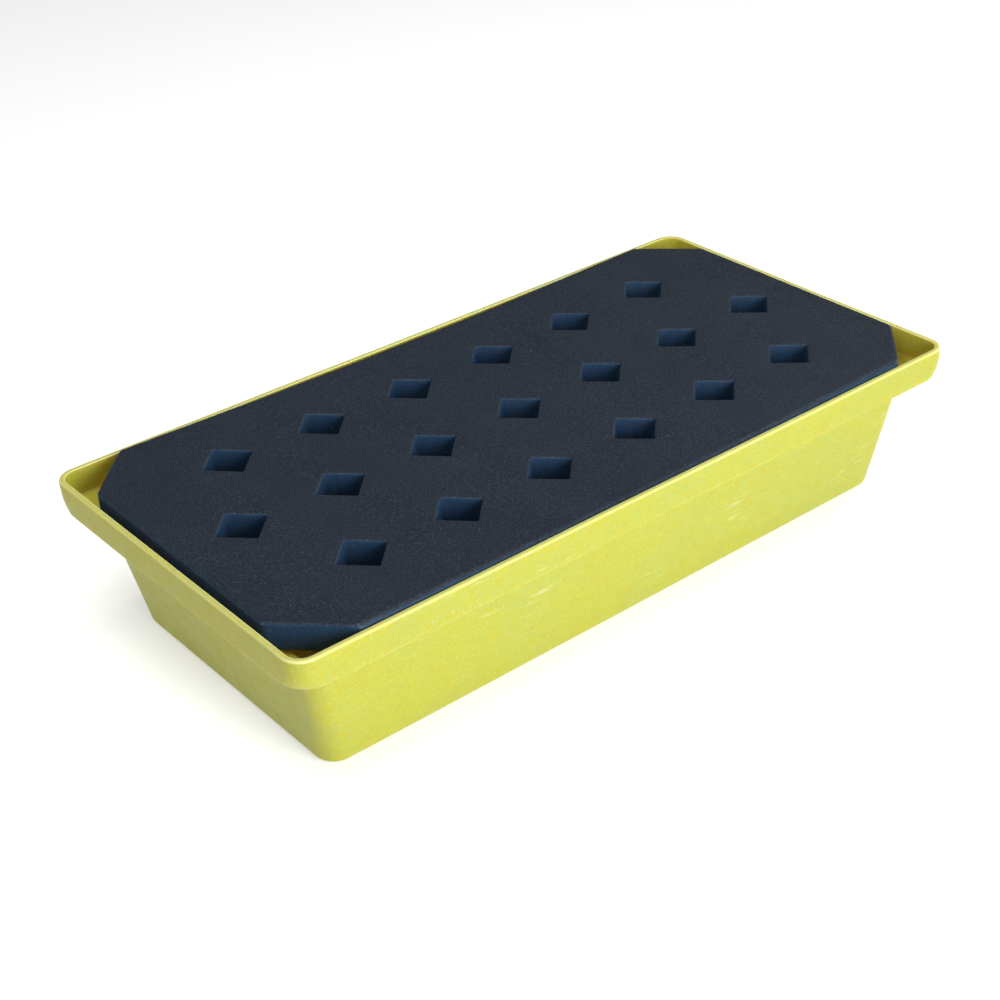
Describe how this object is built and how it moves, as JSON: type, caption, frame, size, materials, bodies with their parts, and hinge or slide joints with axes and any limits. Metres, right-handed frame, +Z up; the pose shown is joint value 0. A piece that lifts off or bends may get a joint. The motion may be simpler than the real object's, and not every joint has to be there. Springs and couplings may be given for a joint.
{
  "type": "spill containment pallet",
  "caption": "Low rectangular polyethylene sump tray with a flanged rim and a lift-out black drain grate with diamond holes, for catching leaks under containers.",
  "frame": {"origin": "on the floor, under the middle of the tray", "axes": "+X along the length, +Y across the width, +Z up"},
  "size_m": [0.805, 0.405, 0.1653],
  "materials": {
    "yellow_polyethylene": "waxy, finely mottled",
    "black_polyethylene": "matte, fine grain",
    "plug_polyethylene": "satin"
  },
  "bodies": {
    "tray": {"sump_tray": "yellow_polyethylene"},
    "grate": {"grate": "black_polyethylene", "vent_plug": "plug_polyethylene"}
  },
  "joints": [
    {"name": "grate_lift", "type": "slide", "parent": "tray", "child": "grate", "axis": [0, 0, 1], "range_m": [0, 0.2]}
  ]
}
